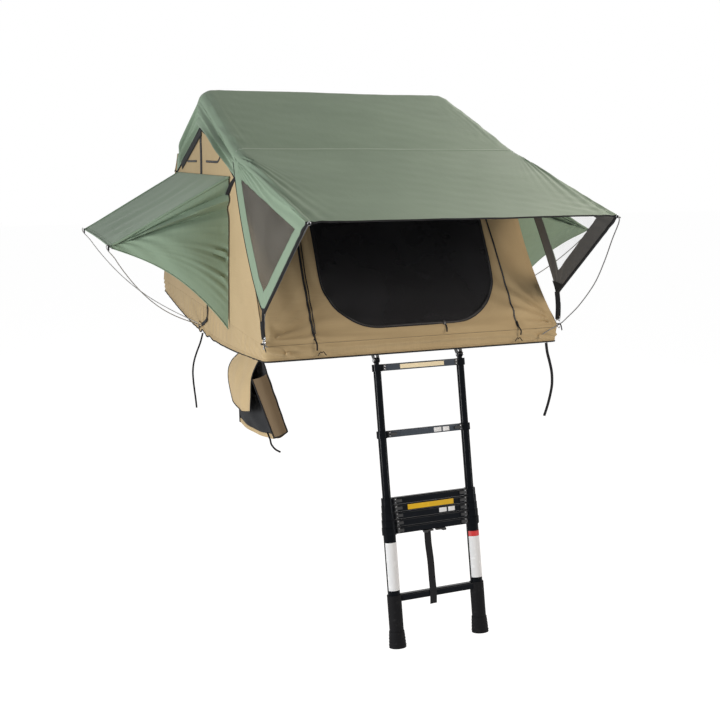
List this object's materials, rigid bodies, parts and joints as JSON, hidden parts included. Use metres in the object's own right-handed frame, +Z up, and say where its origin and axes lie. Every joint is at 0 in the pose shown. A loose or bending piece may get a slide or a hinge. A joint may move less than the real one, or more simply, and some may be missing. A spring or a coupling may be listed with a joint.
{
  "type": "roof top tent",
  "caption": "Soft-shell roof top tent: folding two-panel base, hinged bows, cloth canopy with fly, door and window awnings, and a telescopic ladder.",
  "frame": {"origin": "on the rack, in the plane of the mounting channels' undersides, at the middle of the four mounting holes", "axes": "+Z up, +X along the fold to the right as seen from the ladder, -Y towards the ladder"},
  "size_m": [2.4848, 2.8753, 2.4211],
  "materials": {
    "green_cloth": "coated polyester fly cloth",
    "tan_cloth": "poly-cotton canvas",
    "black_mesh": "fine insect mesh",
    "black_webbing": "woven webbing",
    "bare_aluminium": "mill finish",
    "black_rail": "black powder coat",
    "base_panel": "varnished plywood",
    "mattress_foam": "foam in a cotton cover",
    "plated_steel": "zinc plated",
    "spring_wire": "spring steel wire",
    "black_plastic": "moulded nylon",
    "black_steel": "black paint",
    "ladder_black": "black anodised",
    "foot_rubber": "moulded rubber"
  },
  "bodies": {
    "rear_base": {"rear_rails": "black_rail", "rear_panel": "base_panel", "mounting_channels": "bare_aluminium", "channel_bolts": "plated_steel", "rear_hinge_plates": "plated_steel", "hinge_bolts": "plated_steel", "rear_mattress": "mattress_foam", "rear_skirt": "tan_cloth", "side_rod_sockets": "black_plastic", "left_strap": "black_webbing"},
    "front_base": {"front_rails": "black_rail", "front_panel": "base_panel", "front_hinge_plates": "plated_steel", "front_mattress": "mattress_foam", "front_skirt": "tan_cloth", "front_rod_sockets": "black_plastic", "ladder_brackets": "black_steel", "ladder_pins": "plated_steel", "shoe_bag": "tan_cloth", "right_strap": "black_webbing"},
    "front_bow": {"front_bow_legs": "bare_aluminium", "front_bow_crossbar": "bare_aluminium"},
    "ridge_bow": {"ridge_bow_legs": "bare_aluminium", "ridge_bow_crossbar": "bare_aluminium", "canopy_roof": "tan_cloth", "front_wall": "tan_cloth", "rear_wall": "tan_cloth", "left_wall": "tan_cloth", "right_wall": "tan_cloth", "window_meshes": "black_mesh", "fly_front": "green_cloth", "fly_rear": "green_cloth", "fly_side_flaps": "green_cloth", "left_awning_wing": "green_cloth", "right_awning_wing": "green_cloth", "front_awning_rods": "spring_wire", "awning_straps": "black_webbing"},
    "rear_bow": {"rear_bow_legs": "bare_aluminium", "rear_bow_crossbar": "bare_aluminium"},
    "door_flap": {"door_mesh": "black_mesh"},
    "left_awning": {"left_window_awning": "green_cloth", "left_window_rods": "spring_wire"},
    "right_awning": {"right_window_awning": "green_cloth", "right_window_rods": "spring_wire"},
    "ladder_1": {"ladder_section_1": "ladder_black"},
    "ladder_2": {"ladder_section_2": "ladder_black"},
    "ladder_3": {"ladder_section_3": "ladder_black"},
    "ladder_4": {"ladder_section_4": "ladder_black"},
    "ladder_5": {"ladder_section_5": "ladder_black"},
    "ladder_6": {"ladder_section_6": "ladder_black"},
    "ladder_7": {"ladder_section_7": "ladder_black", "ladder_feet": "foot_rubber", "ladder_strap": "black_webbing"},
    "buttons_2": {"ladder_buttons_2": "black_plastic"},
    "buttons_3": {"ladder_buttons_3": "black_plastic"},
    "buttons_4": {"ladder_buttons_4": "black_plastic"},
    "buttons_5": {"ladder_buttons_5": "black_plastic"},
    "buttons_6": {"ladder_buttons_6": "black_plastic"},
    "buttons_7": {"ladder_buttons_7": "black_plastic"}
  },
  "joints": [
    {"name": "base_fold", "type": "hinge", "parent": "rear_base", "child": "front_base", "pos_m": [0, -0.6, 0.175], "axis": [-1, 0, 0], "range_deg": [0, 180], "deforming": ["canopy_roof", "front_wall", "rear_wall", "left_wall", "right_wall", "window_meshes", "fly_front", "fly_rear", "fly_side_flaps", "left_awning_wing", "right_awning_wing", "front_awning_rods", "awning_straps", "door_mesh", "left_window_awning", "left_window_rods", "right_window_awning", "right_window_rods"]},
    {"name": "front_bow_turn", "type": "hinge", "parent": "rear_base", "child": "front_bow", "pos_m": [0, -0.6, 0.175], "axis": [-1, 0, 0], "range_deg": [0, 135.4]},
    {"name": "ridge_bow_turn", "type": "hinge", "parent": "rear_base", "child": "ridge_bow", "pos_m": [0, -0.6, 0.175], "axis": [-1, 0, 0], "range_deg": [0, 90.1]},
    {"name": "rear_bow_turn", "type": "hinge", "parent": "rear_base", "child": "rear_bow", "pos_m": [0, -0.6, 0.175], "axis": [-1, 0, 0], "range_deg": [0, 44.8]},
    {"name": "door_swing", "type": "hinge", "parent": "ridge_bow", "child": "door_flap", "pos_m": [0, -1.46323, 0.70355], "axis": [-1, 0, 0], "range_deg": [0, 40]},
    {"name": "left_awning_drop", "type": "hinge", "parent": "ridge_bow", "child": "left_awning", "pos_m": [-0.7045, -0.6, 0.755], "axis": [0, -1, 0], "range_deg": [0, 62.1]},
    {"name": "right_awning_drop", "type": "hinge", "parent": "ridge_bow", "child": "right_awning", "pos_m": [0.7045, -0.6, 0.755], "axis": [0, 1, 0], "range_deg": [0, 62.1]},
    {"name": "ladder_swing", "type": "hinge", "parent": "front_base", "child": "ladder_1", "pos_m": [0, -1.79, 0.005], "axis": [-1, 0, 0], "range_deg": [0, 75]},
    {"name": "ladder_slide_2", "type": "slide", "parent": "ladder_1", "child": "ladder_2", "axis": [0, -0.2164, -0.9763], "range_m": [-0.258, 0]},
    {"name": "ladder_slide_3", "type": "slide", "parent": "ladder_2", "child": "ladder_3", "axis": [0, -0.2164, -0.9763], "range_m": [-0.258, 0]},
    {"name": "ladder_slide_4", "type": "slide", "parent": "ladder_3", "child": "ladder_4", "axis": [0, -0.2164, -0.9763], "range_m": [0, 0.258]},
    {"name": "ladder_slide_5", "type": "slide", "parent": "ladder_4", "child": "ladder_5", "axis": [0, -0.2164, -0.9763], "range_m": [0, 0.258]},
    {"name": "ladder_slide_6", "type": "slide", "parent": "ladder_5", "child": "ladder_6", "axis": [0, -0.2164, -0.9763], "range_m": [0, 0.258]},
    {"name": "ladder_slide_7", "type": "slide", "parent": "ladder_6", "child": "ladder_7", "axis": [0, -0.2164, -0.9763], "range_m": [0, 0.258]},
    {"name": "button_press_2", "type": "slide", "parent": "ladder_2", "child": "buttons_2", "axis": [0, 0.9763, -0.2164], "range_m": [0, 0.004], "stiffness_N_per_m": 400},
    {"name": "button_press_3", "type": "slide", "parent": "ladder_3", "child": "buttons_3", "axis": [0, 0.9763, -0.2164], "range_m": [0, 0.004], "stiffness_N_per_m": 400},
    {"name": "button_press_4", "type": "slide", "parent": "ladder_4", "child": "buttons_4", "axis": [0, 0.9763, -0.2164], "range_m": [0, 0.004], "stiffness_N_per_m": 400},
    {"name": "button_press_5", "type": "slide", "parent": "ladder_5", "child": "buttons_5", "axis": [0, 0.9763, -0.2164], "range_m": [0, 0.004], "stiffness_N_per_m": 400},
    {"name": "button_press_6", "type": "slide", "parent": "ladder_6", "child": "buttons_6", "axis": [0, 0.9763, -0.2164], "range_m": [0, 0.004], "stiffness_N_per_m": 400},
    {"name": "button_press_7", "type": "slide", "parent": "ladder_7", "child": "buttons_7", "axis": [0, 0.9763, -0.2164], "range_m": [0, 0.004], "stiffness_N_per_m": 400}
  ],
  "couplings": [
    {"joint": "front_bow_turn", "follows": "base_fold", "ratio": 0.75167},
    {"joint": "ridge_bow_turn", "follows": "base_fold", "ratio": 0.5},
    {"joint": "rear_bow_turn", "follows": "base_fold", "ratio": 0.24833},
    {"joint": "left_awning_drop", "follows": "base_fold", "ratio": 0.34444},
    {"joint": "right_awning_drop", "follows": "base_fold", "ratio": 0.34444}
  ]
}
